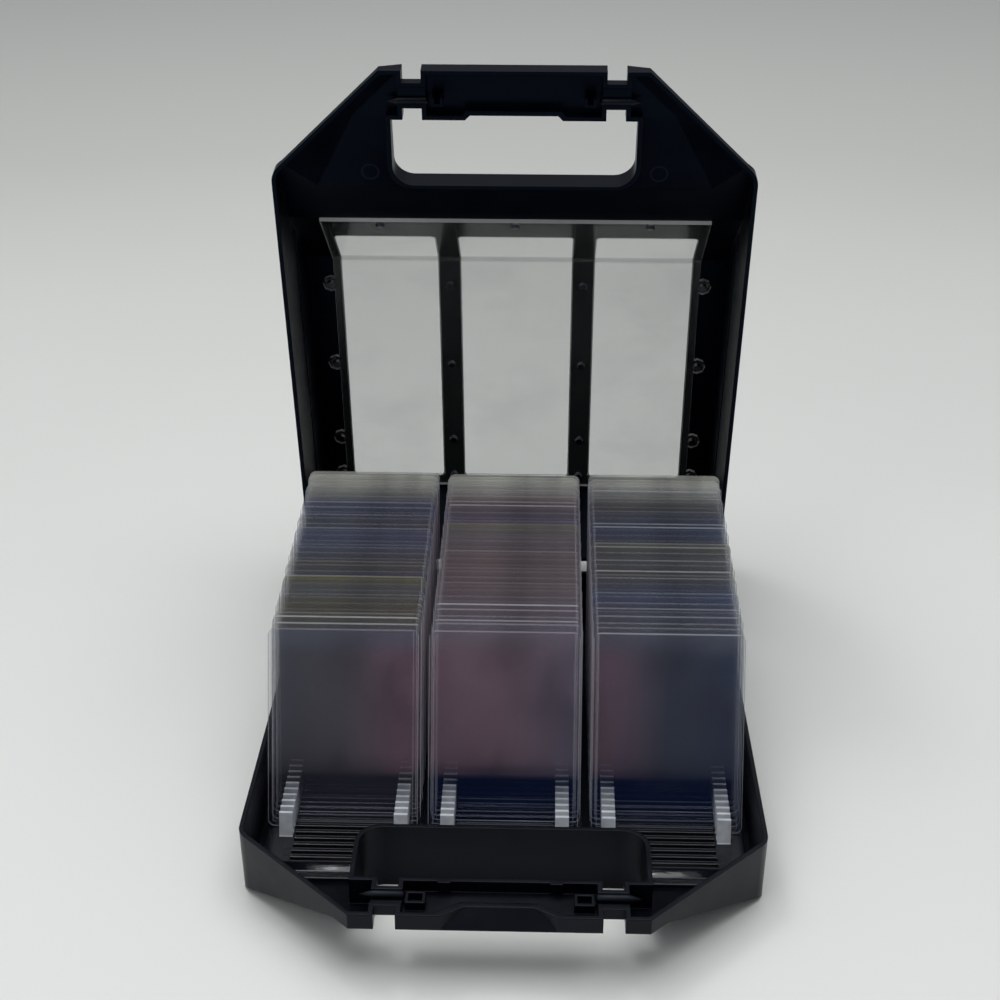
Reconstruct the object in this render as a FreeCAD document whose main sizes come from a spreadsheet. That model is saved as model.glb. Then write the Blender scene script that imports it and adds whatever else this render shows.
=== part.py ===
"""Hinged carry case for rigid trading-card sleeves.

Millimetres, Z up, X to the right, Y to the back.  The origin is the centre of
the flat underside of the base.  The lid parts are drawn closed and then swung
open about the hinge.
"""
import FreeCAD, Part
import Sketcher
import math
import os

doc = FreeCAD.newDocument("card_case")

# ---------------------------------------------------------------- dimensions
SIZES = [
    # outline shared by both halves, seen from above
    ("front_y", -182.3),          # front face of the handle bar
    ("corner_y", -125.0),         # where the side walls meet the chamfers
    ("rear_y", 129.6),            # outside of the back wall
    ("half_front", 127.0),        # half width at the chamfer corners
    ("half_rear", 123.9),         # half width at the back
    ("half_bar", 68.6),           # half width of the straight front edge
    ("base_height", 35.3),
    ("lid_height", 75.6),
    ("wall", 2.3),
    ("draft", 1.0),               # mould draft, degrees
    ("rim_gap", 0.3),             # between the closed rims
    # handle
    ("open_front_y", -155.9),
    ("open_rear_y", -119.1),
    ("base_open", 68.0),          # half width of the opening in the base
    ("lid_open", 63.2),           # and in the lid
    ("notch_in", 47.0),
    ("notch_out", 57.0),
    ("notch_front_y", -175.8),
    ("notch_rear_y", -162.2),
    ("grip_depth", 8.4),
    ("neck_depth", 5.6),
    ("scoop_depth", 7.0),         # finger scoop in the front of the bar
    ("scoop_half", 27.5),
    ("relief_depth", 2.6),        # shallow relief in the rear edge of the lid bar
    ("relief_half", 22.5),
    # underside ramp of the base
    ("ramp_front_y", -174.5),
    ("ramp_rear_y", -121.6),
    # lid: handle floor, shelf, brow and sloping window, heights above its rim
    ("handle_depth", 9.2),
    ("shelf_end_y", -113.7),
    ("shelf_depth", 15.2),
    ("brow_y", -88.3),
    ("brow_depth", 29.0),
    ("window_slope", 43.0),
    ("lip_depth", 6.0),           # upright lip along the chamfers
    ("bevel_width", 22.0),
    # windows and clear panel
    ("window_top_y", -78.0),
    ("window_rear_y", 119.5),
    ("middle_window", 33.0),
    ("side_window_in", 45.0),
    ("side_window_out", 103.0),
    ("top_wall", 3.0),
    ("panel_thick", 2.2),
    ("panel_half", 107.0),
    ("panel_rear_y", 124.5),
    ("panel_air", 0.05),
    # hinge
    ("hinge_y", 134.1),
    ("hinge_z", 35.45),
    ("hinge_x", 76.5),
    ("barrel_radius", 4.4),
    ("pin_radius", 2.0),
    ("open_angle", 81.3),
    # latch posts and sockets in the handle
    ("latch_x", 38.7),
    ("latch_y", -167.7),
    # slot trays, comb strips and sleeves
    ("row_pitch", 81.4),
    ("slot_pitch", 4.91),
    ("tray_half", 39.0),
    ("tray_z", 2.6),
    ("tray_thick", 1.4),
    ("tray_front_y", -115.2),
    ("ledge_front_y", -120.1),
    ("tray_rear_y", 120.5),
    ("first_rib_y", -106.45),
    ("rib_height", 2.2),
    ("comb_x", 29.0),
    ("comb_width", 6.8),
    ("comb_height", 12.8),
    ("tooth_thick", 1.5),
    ("tooth_slant", 18.9),
    ("first_tooth_y", -84.57),
    ("mid_z", 11.5),              # height at which the slots are spaced
    ("sleeve_width", 76.2),
    ("sleeve_height", 101.6),
    ("sleeve_thick", 1.8),
]
sheet = doc.addObject("Spreadsheet::Sheet", "size")
SIZE = {}
for row, (alias, value) in enumerate(SIZES, start=1):
    sheet.set("A%d" % row, alias)
    sheet.set("B%d" % row, repr(value))
    sheet.setAlias("B%d" % row, alias)
    SIZE[alias] = value
doc.recompute()

SLOTS = 37            # filled slots in each row
TEETH = 39
RIBS = 43
LEAN_FRONT = 22.5     # the front sleeve leans back this far, degrees
LEAN_REAR = 15.2      # and the last one this far


# ------------------------------------------------------------------- helpers
def new_body(name):
    body = doc.addObject("PartDesign::Body", name)
    body.Label = name
    return body


def origin_plane(body, role):
    for feature in body.Origin.OriginFeatures:
        if feature.Role == role:
            return feature
    raise ValueError(role)


def sketch(body, name, role, loops, height=None):
    """Closed polygons on an origin plane; every corner is tied to the sheet."""
    item = body.newObject("Sketcher::SketchObject", name)
    item.AttachmentSupport = [(origin_plane(body, role), "")]
    item.MapMode = "FlatFace"
    if height is not None:
        item.setExpression("AttachmentOffset.Base.z", height)
    first = 0
    for corners in loops:
        count = len(corners)
        spots = []
        for index in range(count):
            angle = 2.0 * math.pi * index / count
            spots.append(FreeCAD.Vector(50 * math.cos(angle) + 120 * first, 50 * math.sin(angle), 0))
        for index in range(count):
            item.addGeometry(Part.LineSegment(spots[index], spots[(index + 1) % count]))
        for index in range(count):
            after = first + (index + 1) % count
            item.addConstraint(Sketcher.Constraint("Coincident", first + index, 2, after, 1))
        for index, corner in enumerate(corners):
            spot = spots[index]
            for kind, start, text in (("DistanceX", spot.x, corner[0]), ("DistanceY", spot.y, corner[1])):
                number = item.addConstraint(Sketcher.Constraint(kind, -1, 1, first + index, 1, start))
                item.setExpression("Constraints[%d]" % number, text)
        first += count
    doc.recompute()
    return item


def pad(body, name, profile, length, reverse=False, taper=None, middle=False):
    item = body.newObject("PartDesign::Pad", name)
    item.Profile = profile
    item.setExpression("Length", length)
    item.Reversed = reverse
    item.Midplane = middle
    if taper is not None:
        item.setExpression("TaperAngle", taper)
    doc.recompute()
    return item


def pocket(body, name, profile, length=None, reverse=False, middle=False):
    item = body.newObject("PartDesign::Pocket", name)
    item.Profile = profile
    if length is None:
        item.Type = 1
    else:
        item.setExpression("Length", length)
    item.Reversed = reverse
    item.Midplane = middle
    doc.recompute()
    return item


def row_of(body, item, name, count, step):
    """Repeat a feature along +Y."""
    body.Tip = item
    feature = body.newObject("PartDesign::LinearPattern", name)
    feature.Originals = [item]
    for axis in body.Origin.OriginFeatures:
        if axis.Role == "Y_Axis":
            feature.Direction = (axis, [""])
    feature.Occurrences = count
    feature.setExpression("Length", "%d * %s" % (count - 1, step))
    body.Tip = feature
    doc.recompute()
    return feature


def fillet(body, name, item, wanted, radius):
    names = []
    for number, edge in enumerate(item.Shape.Edges, start=1):
        ends = [vertex.Point for vertex in edge.Vertexes]
        if len(ends) == 2 and wanted(ends[0], ends[1]):
            names.append("Edge%d" % number)
    if not names:
        raise ValueError("no edges for " + name)
    feature = body.newObject("PartDesign::Fillet", name)
    feature.Base = (item, names)
    feature.Radius = radius
    doc.recompute()
    return feature


def near(value, target, reach=0.6):
    return abs(value - target) < reach


def box_loop(x0, x1, y0, y1):
    return [(x0, y0), (x1, y0), (x1, y1), (x0, y1)]


def both_sides(x0, x1, y0, y1):
    return [box_loop("-(%s)" % x0, "-(%s)" % x1, y0, y1), box_loop(x0, x1, y0, y1)]


def boolean(kind, name, first, second):
    item = doc.addObject("Part::" + kind, name)
    item.Base = first
    item.Tool = second
    doc.recompute()
    return item


def fuse(name, items):
    item = doc.addObject("Part::MultiFuse", name)
    item.Shapes = items
    doc.recompute()
    return item


def block(name, x, y, z, length, width, height):
    """A box given by its corner and its edge lengths, each an expression."""
    item = doc.addObject("Part::Box", name)
    item.setExpression("Placement.Base.x", x)
    item.setExpression("Placement.Base.y", y)
    item.setExpression("Placement.Base.z", z)
    item.setExpression("Length", length)
    item.setExpression("Width", width)
    item.setExpression("Height", height)
    return item


def rod_along_x(name, x, y, z, radius, length):
    item = doc.addObject("Part::Cylinder", name)
    item.Placement = FreeCAD.Placement(
        FreeCAD.Vector(0, 0, 0), FreeCAD.Rotation(FreeCAD.Vector(0, 1, 0), 90))
    item.setExpression("Placement.Base.x", x)
    item.setExpression("Placement.Base.y", y)
    item.setExpression("Placement.Base.z", z)
    item.setExpression("Radius", radius)
    item.setExpression("Height", length)
    return item


def swing_open(item):
    """Turn a closed lid part about the hinge to the open pose."""
    item.Placement = FreeCAD.Placement(
        FreeCAD.Vector(0, 0, 0), FreeCAD.Rotation(FreeCAD.Vector(1, 0, 0), -SIZE["open_angle"]))
    item.setExpression(
        "Placement.Base.y",
        "size.hinge_y - size.hinge_y * cos(size.open_angle) - size.hinge_z * sin(size.open_angle)")
    item.setExpression(
        "Placement.Base.z",
        "size.hinge_z + size.hinge_y * sin(size.open_angle) - size.hinge_z * cos(size.open_angle)")
    doc.recompute()


# -------------------------------------------------- the block of either half
CHAMFER = "atan2(size.corner_y - size.front_y; size.half_front - size.half_bar)"


def outline(inset):
    """Outer edge of a half, moved inwards by an expression."""
    bar_x = "size.half_bar - (%s) * tan(%s / 2)" % (inset, CHAMFER)
    bar_y = "size.front_y + (%s)" % inset
    side_x = "size.half_front - (%s)" % inset
    side_y = "%s + (%s - (%s)) * tan(%s)" % (bar_y, side_x, bar_x, CHAMFER)
    rear_x = "size.half_rear - (%s)" % inset
    rear_y = "size.rear_y - (%s)" % inset
    return [
        ("-(%s)" % bar_x, bar_y),
        (bar_x, bar_y),
        (side_x, side_y),
        (rear_x, rear_y),
        ("-(%s)" % rear_x, rear_y),
        ("-(%s)" % side_x, side_y),
    ]


def half_block(name, inset, rim, height, down, corner, opening, relief=False):
    """Prism with rounded corners, handle opening and handle notches."""
    body = new_body(name)
    edge = sketch(body, name + "_outline", "XY_Plane", [outline(inset)], rim)
    solid = pad(body, name + "_prism", edge, height, reverse=down, taper="-size.draft")
    hole = sketch(body, name + "_hole", "XY_Plane", [box_loop(
        "-size.%s - (%s)" % (opening, inset), "size.%s + (%s)" % (opening, inset),
        "size.open_front_y - (%s)" % inset, "size.open_rear_y + (%s)" % inset)], rim)
    solid = pocket(body, name + "_opening", hole, None, reverse=not down)
    if relief:
        edge_y = "size.open_front_y - size.relief_depth - (%s)" % inset
        shape = sketch(body, name + "_relief_plan", "XY_Plane", [[
            ("-size.relief_half - (%s)" % inset, edge_y),
            ("size.relief_half + (%s)" % inset, edge_y),
            ("size.relief_half + 3.5 + (%s)" % inset, "size.open_front_y + 1"),
            ("-size.relief_half - 3.5 - (%s)" % inset, "size.open_front_y + 1"),
        ]], rim)
        solid = pocket(body, name + "_relief", shape, None, reverse=not down)
    notches = []
    low = "size.notch_in - (%s)" % inset
    high = "size.notch_out + (%s)" % inset
    notches += both_sides(low, high, "size.front_y - 5", "size.notch_front_y + (%s)" % inset)
    notches += both_sides(low, high, "size.notch_rear_y - (%s)" % inset, "size.open_front_y + 1")
    cuts = sketch(body, name + "_notch_plan", "XY_Plane", notches, rim)
    solid = pocket(body, name + "_notches", cuts, None, reverse=not down)

    def upright(a, b):
        return abs(a.z - b.z) > 20

    solid = fillet(body, name + "_front_corners", solid,
                   lambda a, b: upright(a, b) and abs(a.x) > 120 and near(a.y, SIZE["corner_y"], 6), corner)
    solid = fillet(body, name + "_rear_corners", solid,
                   lambda a, b: upright(a, b) and abs(a.x) > 115 and a.y > 115, corner - 6.0)
    solid = fillet(body, name + "_opening_corners", solid,
                   lambda a, b: upright(a, b) and near(abs(a.x), SIZE[opening] + 1.2, 2.0)
                   and near(a.y, SIZE["open_rear_y"] + 1.2, 2.0), 22.0 - corner)
    return body, solid


# ---------------------------------------------------------------- base shell
def base_block(name, inset, corner):
    body, solid = half_block(name, inset, "size.base_height", "size.base_height - (%s)" % inset, True, corner,
                             "base_open")
    grip = "size.base_height - size.grip_depth + (%s)" % inset
    ramp = sketch(body, name + "_ramp_profile", "YZ_Plane", [[
        ("size.front_y - 10", "-10"),
        ("size.front_y - 10", grip),
        ("size.ramp_front_y + 0.2 * (%s)" % inset, grip),
        ("size.ramp_rear_y + 0.2 * (%s)" % inset, inset),
        ("size.ramp_rear_y + 0.2 * (%s)" % inset, "-10"),
    ]])
    solid = pocket(body, name + "_ramp", ramp, None, middle=True)
    under = sketch(body, name + "_grip_profile", "YZ_Plane", [box_loop(
        "size.front_y - 10", "size.open_front_y + 0.5", "-10", grip)])
    solid = pocket(body, name + "_grip", under, "2 * (size.notch_out + (%s))" % inset, middle=True)
    necks = sketch(body, name + "_neck_plan", "XY_Plane", both_sides(
        "size.notch_in - (%s)" % inset, "size.notch_out + (%s)" % inset,
        "size.front_y", "size.open_front_y"))
    solid = pocket(body, name + "_necks", necks,
                   "size.base_height - size.neck_depth + (%s)" % inset, reverse=True)
    return body, solid


def scoop(name, inset):
    """Wedge that leaves a sloping finger scoop in the front wall of the bar."""
    item = doc.addObject("Part::Wedge", name)
    push = "1.18 * (%s)" % inset
    grip = "size.base_height - size.grip_depth"
    item.setExpression("Xmin", "-size.scoop_half - (%s)" % inset)
    item.setExpression("Xmax", "size.scoop_half + (%s)" % inset)
    item.setExpression("X2min", "-size.scoop_half + 12 - (%s)" % inset)
    item.setExpression("X2max", "size.scoop_half - 12 + (%s)" % inset)
    item.setExpression("Ymin", "size.front_y - 0.6 + %s" % push)
    item.setExpression("Ymax", "size.front_y + size.scoop_depth + %s" % push)
    item.setExpression("Zmin", grip)
    item.setExpression("Z2min", "size.base_height")
    for edge in ("Zmax", "Z2max"):
        item.setExpression(edge, "size.base_height + 1")
    doc.recompute()
    return item


# the cup: an outer block less the same block drawn one wall smaller
base_outside, base_solid = base_block("base_outside", "0", 11.0)
base_inside, base_void = base_block("base_inside", "size.wall", 8.5)
base_cup = boolean(
    "Cut", "base_cup",
    boolean("Cut", "base_outside_cut", base_outside,
            scoop("base_scoop", "0")),
    boolean("Cut", "base_inside_cut", base_inside,
            scoop("base_scoop_back", "size.wall")))

# hinge knuckles: two outer barrels on each side, carried on webs, with a lug
# behind each that the open lid comes to rest against
BARREL = 10.0
SIDES = ((-1, "left"), (1, "right"))
base_parts = [base_cup]
base_bores = []
for side, label in SIDES:
    middle = "%d * size.hinge_x" % side
    for step, place in ((-20.3, "a"), (10.3, "b")):
        start = "%s + (%s)" % (middle, step)
        tag = "base_%s_%s" % (label, place)
        base_parts.append(rod_along_x(
            tag + "_barrel", start, "size.hinge_y", "size.hinge_z", "size.barrel_radius", repr(BARREL)))
        base_parts.append(block(
            tag + "_web", start, "size.rear_y - 1.6", "size.hinge_z - 9", repr(BARREL),
            "size.hinge_y - size.rear_y + 1.6", "9"))
        base_parts.append(block(
            tag + "_lug", start, "size.hinge_y - 0.2", "size.hinge_z - size.barrel_radius", repr(BARREL),
            "7", "size.barrel_radius + 4.3"))
    base_bores.append(rod_along_x(
        "base_%s_bore" % label, "%s - 21" % middle, "size.hinge_y", "size.hinge_z",
        "size.pin_radius + 0.02", "42"))

# square latch sockets and the two small tabs on the rear wall of the bar
for side, label in SIDES:
    base_parts.append(block(
        "socket_%s" % label, "%d * size.latch_x - 4.6" % side, "size.latch_y - 4.1",
        "size.base_height - size.grip_depth + 1.5", "9.2", "8.2", "size.grip_depth - 3"))
    base_bores.append(block(
        "socket_%s_hole" % label, "%d * size.latch_x - 3.2" % side, "size.latch_y - 2.7",
        "size.base_height - size.grip_depth + 2.6", "6.4", "5.4", "12"))
    base_parts.append(block(
        "tab_%s" % label, "%d * 26 - 3" % side, "size.open_front_y - 3.4",
        "size.base_height - 5", "6", "1.6", "5"))
base_shell = boolean("Cut", "base_shell", fuse("base_with_fittings", base_parts), fuse("base_bores", base_bores))
base_shell.Label = "base_shell"


# ----------------------------------------------------------------- lid shell
LID_RIM = "(size.base_height + size.rim_gap)"
SHELF_RISE = "atan2(size.shelf_depth - size.handle_depth; size.shelf_end_y - size.open_front_y)"
BROW_RISE = "atan2(size.brow_depth - size.shelf_depth; size.brow_y - size.shelf_end_y)"
WINDOW_RISE = "(size.window_slope * 1 deg)"
FLAT = "0 deg"


def corner_point(y, depth, before, after, inset):
    """Corner of the lid profile, moved inwards square to both its faces."""
    mean = "((%s + %s) / 2)" % (before, after)
    half = "((%s - %s) / 2)" % (after, before)
    return (
        "%s + (%s) * sin(%s) / cos(%s)" % (y, inset, mean, half),
        "%s + %s - (%s) * cos(%s) / cos(%s)" % (LID_RIM, depth, inset, mean, half))


def slope_point(rise, inset):
    """Point on the window slope at a height above the brow."""
    return (
        "size.brow_y + (%s) / tan(%s) + (%s) * sin(%s)" % (rise, WINDOW_RISE, inset, WINDOW_RISE),
        "%s + size.brow_depth + (%s) - (%s) * cos(%s)" % (LID_RIM, rise, inset, WINDOW_RISE))


def over_brow(name, inset):
    """Everything above the brow and window planes, for trimming the bevels."""
    body = new_body(name)
    drop = "(size.shelf_depth / tan(%s))" % BROW_RISE
    shape = sketch(body, name + "_profile", "YZ_Plane", [[
        ("size.front_y - 40", LID_RIM + " - 20"),
        corner_point("size.shelf_end_y - " + drop, "0", BROW_RISE, BROW_RISE, inset),
        corner_point("size.brow_y", "size.brow_depth", BROW_RISE, WINDOW_RISE, inset),
        slope_point("60", inset),
        ("size.front_y - 40", LID_RIM + " + size.brow_depth + 60"),
    ]])
    pad(body, name + "_block", shape, "300", middle=True)
    return body


def bevel(name, inset):
    """Half space above the two bevels that run from the chamfers to the shelf."""
    turn = math.degrees(math.atan2(SIZE["corner_y"] - SIZE["front_y"], SIZE["half_front"] - SIZE["half_bar"]))
    rise = math.degrees(math.atan2(SIZE["shelf_depth"] - SIZE["lip_depth"] - 0.6, SIZE["bevel_width"]))
    start = FreeCAD.Placement(
        FreeCAD.Vector(SIZE["half_bar"], SIZE["front_y"], SIZE["base_height"] + SIZE["rim_gap"] + SIZE["lip_depth"]),
        FreeCAD.Rotation(FreeCAD.Vector(0, 0, 1), turn) * FreeCAD.Rotation(FreeCAD.Vector(1, 0, 0), rise))
    slab = doc.addObject("Part::Box", name + "_right")
    slab.Length = 180
    slab.Width = 90
    slab.Height = 120
    slab.Placement = start.multiply(FreeCAD.Placement(
        FreeCAD.Vector(-40, -12, -inset), FreeCAD.Rotation()))
    mirror = doc.addObject("Part::Mirroring", name + "_left")
    mirror.Source = slab
    mirror.Normal = FreeCAD.Vector(1, 0, 0)
    doc.recompute()
    return fuse(name + "_pair", [slab, mirror])


def lid_block(name, inset, top, corner):
    body, solid = half_block(name, inset, LID_RIM, "size.lid_height - (%s)" % top, False, corner,
                             "lid_open", relief=True)
    shape = sketch(body, name + "_profile", "YZ_Plane", [[
        ("size.front_y - 10", "%s + size.handle_depth - (%s)" % (LID_RIM, top)),
        corner_point("size.open_front_y", "size.handle_depth", FLAT, SHELF_RISE, top),
        corner_point("size.shelf_end_y", "size.shelf_depth", SHELF_RISE, BROW_RISE, top),
        corner_point("size.brow_y", "size.brow_depth", BROW_RISE, WINDOW_RISE, top),
        slope_point("60", top),
        ("size.front_y - 10", LID_RIM + " + size.brow_depth + 60"),
    ]])
    solid = pocket(body, name + "_face", shape, None, middle=True)
    necks = sketch(body, name + "_neck_plan", "XY_Plane", both_sides(
        "size.notch_in - (%s)" % inset, "size.notch_out + (%s)" % inset,
        "size.front_y", "size.open_front_y"), LID_RIM + " + size.neck_depth - (%s)" % top)
    solid = pocket(body, name + "_necks", necks, "30", reverse=True)
    trim = boolean("Common", name + "_bevels", bevel(name + "_bevel", SIZE["top_wall"] if top != "0" else 0.0),
                   over_brow(name + "_brow", top))
    return boolean("Cut", name + "_bevelled", body, trim)


lid_cup = boolean("Cut", "lid_cup", lid_block("lid_outside", "0", "0", 11.0),
                  lid_block("lid_inside", "size.wall", "size.top_wall", 8.5))

lid_parts = [lid_cup]
lid_cuts = []
for side, label in SIDES:
    middle = "%d * size.hinge_x" % side
    lid_parts.append(rod_along_x(
        "lid_%s_barrel" % label, middle + " - 10", "size.hinge_y", "size.hinge_z", "size.barrel_radius", "20"))
    lid_parts.append(block(
        "lid_%s_web" % label, middle + " - 10", "size.rear_y - 1.6", "size.hinge_z + 0.15", "20",
        "size.hinge_y - size.rear_y + 1.6", "9"))
    lid_cuts.append(rod_along_x(
        "lid_%s_bore" % label, middle + " - 11", "size.hinge_y", "size.hinge_z", "size.pin_radius + 0.06", "22"))
    # latch post: a square U that drops into the socket of the base
    lid_parts.append(block(
        "post_%s" % label, "%d * size.latch_x - 2.8" % side, "size.latch_y - 2.3", "size.base_height - 5.2",
        "5.6", "4.6", "5.2 + size.rim_gap + size.handle_depth - 2"))
    lid_cuts.append(block(
        "post_%s_slot" % label, "%d * size.latch_x - 1.5" % side, "size.latch_y - 3", "size.base_height - 6",
        "3", "3.9", "6 + size.rim_gap + size.handle_depth - size.top_wall"))


def inner_side(y, depth):
    """Inner face of the lid's side wall."""
    return ("size.half_front + (size.half_rear - size.half_front) * (%s - size.corner_y)"
            " / (size.rear_y - size.corner_y) - %s * tan(size.draft * 1 deg) - size.wall" % (y, depth))


# a fine stiffening rib along the inside of each side wall
ribs = new_body("lid_ribs")
RIB_FRONT, RIB_REAR, RIB_DEPTH = "-72", "118", "38"
front_x = inner_side(RIB_FRONT, RIB_DEPTH)
rear_x = inner_side(RIB_REAR, RIB_DEPTH)
rib_plan = sketch(ribs, "lid_rib_plan", "XY_Plane", [
    [(front_x + " - 0.5", RIB_FRONT), (front_x + " + 1", RIB_FRONT),
     (rear_x + " + 1", RIB_REAR), (rear_x + " - 0.5", RIB_REAR)],
    [("-(%s - 0.5)" % front_x, RIB_FRONT), ("-(%s + 1)" % front_x, RIB_FRONT),
     ("-(%s + 1)" % rear_x, RIB_REAR), ("-(%s - 0.5)" % rear_x, RIB_REAR)],
], "%s + %s" % (LID_RIM, RIB_DEPTH))
pad(ribs, "lid_rib_pads", rib_plan, "1.2")
lid_parts.append(ribs)

# three window openings through the front slope and the top
windows = new_body("lid_windows")
window_plan = sketch(windows, "window_plan", "XY_Plane", both_sides(
    "size.side_window_in", "size.side_window_out", "size.window_top_y", "size.window_rear_y") + [box_loop(
        "-size.middle_window", "size.middle_window", "size.window_top_y", "size.window_rear_y")],
    LID_RIM + " + 22")
pad(windows, "window_prism", window_plan, "80")
lid_cuts.append(windows)

# ------------------------------------------------------------ window screws
# heads are inside the case; three on the slope, four rows on the flat
WINDOW_TILT = SIZE["window_slope"]
PANEL_FACE = SIZE["top_wall"] + SIZE["panel_air"] + SIZE["panel_thick"]
RIM_Z = SIZE["base_height"] + SIZE["rim_gap"]
SCREW_ROWS = (-20.1, 34.6, 89.3, 116.5)
SCREW_COLUMN = 109.0


def screw_places():
    places = []
    tilt = math.radians(WINDOW_TILT)
    along = 5.0
    y = SIZE["brow_y"] + PANEL_FACE * math.sin(tilt) + along * math.cos(tilt)
    z = RIM_Z + SIZE["brow_depth"] - PANEL_FACE * math.cos(tilt) + along * math.sin(tilt)
    for x in (-74.0, 0.0, 74.0):
        places.append(FreeCAD.Placement(
            FreeCAD.Vector(x, y, z), FreeCAD.Rotation(FreeCAD.Vector(1, 0, 0), WINDOW_TILT)))
    for row_y in SCREW_ROWS:
        for x in (-SCREW_COLUMN, -39.0, 39.0, SCREW_COLUMN):
            places.append(FreeCAD.Placement(
                FreeCAD.Vector(x, row_y, RIM_Z + SIZE["lid_height"] - PANEL_FACE), FreeCAD.Rotation()))
    return places


def copies(name, shape, places):
    """The same solid placed several times, as one group."""
    group = doc.addObject("Part::Feature", name)
    group.Label = name
    solids = []
    for spot in places:
        solid = shape.copy()
        solid.Placement = spot
        solids.append(solid)
    group.Shape = Part.makeCompound(solids)
    return group


def drill(name, radius, depth):
    """Six-sided holes for every screw, from the panel face into the lid."""
    form = doc.addObject("Part::Prism", name + "_form")
    form.Polygon = 6
    form.Circumradius = radius
    form.Height = 1 + depth
    doc.recompute()
    back = FreeCAD.Placement(FreeCAD.Vector(0, 0, -1), FreeCAD.Rotation())
    return copies(name, form.Shape, [spot.multiply(back) for spot in screw_places()])


def ring(radius, sides):
    """Corners of a regular polygon, for small round parts with few faces."""
    corners = []
    for index in range(sides):
        angle = 360.0 * index / sides
        corners.append(("%s * cos(%r deg)" % (radius, angle), "%s * sin(%r deg)" % (radius, angle)))
    return corners


# small pan-head screw, drawn with its head below the panel face
screw = new_body("screw")
head_plan = sketch(screw, "screw_head_plan", "XY_Plane", [ring("2.7", 8)], "-0.03")
pad(screw, "screw_head", head_plan, "1.5", reverse=True, taper="-24")
shank_plan = sketch(screw, "screw_shank_plan", "XY_Plane", [ring("1.1", 6)], "-0.1")
pad(screw, "screw_shank", shank_plan, "4.6")
window_screws = copies("window_screws", screw.Shape, screw_places())

PILOT_DEPTH = SIZE["panel_thick"] + SIZE["panel_air"] + 2.3
lid_cuts.append(drill("pilot_holes", 1.25, PILOT_DEPTH))
lid_shell = boolean("Cut", "lid_shell", fuse("lid_with_fittings", lid_parts), fuse("lid_removed", lid_cuts))
lid_shell.Label = "lid_shell"

# -------------------------------------------------------------- clear panel
OUTER_AIR = "size.top_wall + size.panel_air"
INNER_AIR = "size.top_wall + size.panel_air + size.panel_thick"
BEND = "(size.lid_height - size.brow_depth)"


def bend_point(inset):
    return (
        "size.brow_y + %s / tan(%s) + (%s) * tan(%s / 2)" % (BEND, WINDOW_RISE, inset, WINDOW_RISE),
        "%s + size.lid_height - (%s)" % (LID_RIM, inset))


bent = new_body("panel_sheet")
panel_profile = sketch(bent, "panel_profile", "YZ_Plane", [[
    slope_point("0.2", OUTER_AIR),
    bend_point(OUTER_AIR),
    ("size.panel_rear_y", "%s + size.lid_height - (%s)" % (LID_RIM, OUTER_AIR)),
    ("size.panel_rear_y", "%s + size.lid_height - (%s)" % (LID_RIM, INNER_AIR)),
    bend_point(INNER_AIR),
    slope_point("0.2", INNER_AIR),
]])
pad(bent, "panel_sheet_pad", panel_profile, "260", middle=True)
plan = [block("panel_field", "-size.panel_half", "-120", LID_RIM, "2 * size.panel_half", "260", "90")]
for side, label in SIDES:
    for number, row_y in enumerate(SCREW_ROWS):
        ear = doc.addObject("Part::Prism", "ear_%s_%d" % (label, number))
        ear.Polygon = 8
        ear.Circumradius = 5
        ear.Height = 60
        ear.Placement.Base = FreeCAD.Vector(side * SCREW_COLUMN, row_y, RIM_Z + 40)
        plan.append(ear)
panel_blank = boolean("Common", "panel_blank", bent, fuse("panel_plan", plan))
window_panel = boolean("Cut", "window_panel", panel_blank, drill("panel_holes", 1.5, 4.0))
window_panel.Label = "window_panel"

for item in (lid_shell, window_panel, window_screws):
    swing_open(item)

# --------------------------------------------------------------- hinge pins
pins = []
for side, label in SIDES:
    pin = rod_along_x(
        "hinge_pin_" + label, "%d * size.hinge_x - 20.5" % side, "size.hinge_y", "size.hinge_z",
        "size.pin_radius", "41")
    doc.recompute()
    pins.append(pin)

# --------------------------------------------------------------- slot trays
ROWS = ((-1, "left"), (0, "middle"), (1, "right"))
TRAY_TOP = "size.tray_z + size.tray_thick"
COMB_GAP = "(size.comb_width / 2 + 0.3)"
trays = []
for side, label in ROWS:
    body = new_body("slot_tray_" + label)
    edge = [("-size.tray_half", "size.tray_front_y"), ("size.tray_half", "size.tray_front_y"),
            ("size.tray_half", "size.tray_rear_y"), ("-size.tray_half", "size.tray_rear_y")]
    if side:
        # the outer trays reach forward beside the handle opening as a plain ledge
        inner = "%d * (size.row_pitch - size.base_open - 4.5)" % -side
        outer = "%d * size.tray_half" % side
        edge = [("-(%s)" % outer, "size.tray_front_y"), (inner, "size.tray_front_y"),
                (inner, "size.ledge_front_y"), (outer, "size.ledge_front_y"),
                (outer, "size.tray_rear_y"), ("-(%s)" % outer, "size.tray_rear_y")]
    tracks = both_sides("size.comb_x - " + COMB_GAP, "size.comb_x + " + COMB_GAP,
                        "size.first_tooth_y - 4.2", "size.first_tooth_y + %d * size.slot_pitch + 4.2" % (TEETH - 1))
    floor = sketch(body, "tray_plan_" + label, "XY_Plane", [edge] + tracks, "size.tray_z")
    pad(body, "tray_floor_" + label, floor, "size.tray_thick")
    rib_y = ("size.first_rib_y - 0.6", "size.first_rib_y + 0.6")
    lane = box_loop("-(size.comb_x - 4.6)", "size.comb_x - 4.6", *rib_y)
    rib = sketch(body, "tray_rib_plan_" + label, "XY_Plane", [lane], TRAY_TOP + " - 0.2")
    first = pad(body, "tray_rib_" + label, rib, "size.rib_height + 0.2")
    row_of(body, first, "tray_ribs_" + label, RIBS, "size.slot_pitch")
    body.setExpression("Placement.Base.x", "%d * size.row_pitch" % side)
    doc.recompute()
    trays.append(body)

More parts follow.
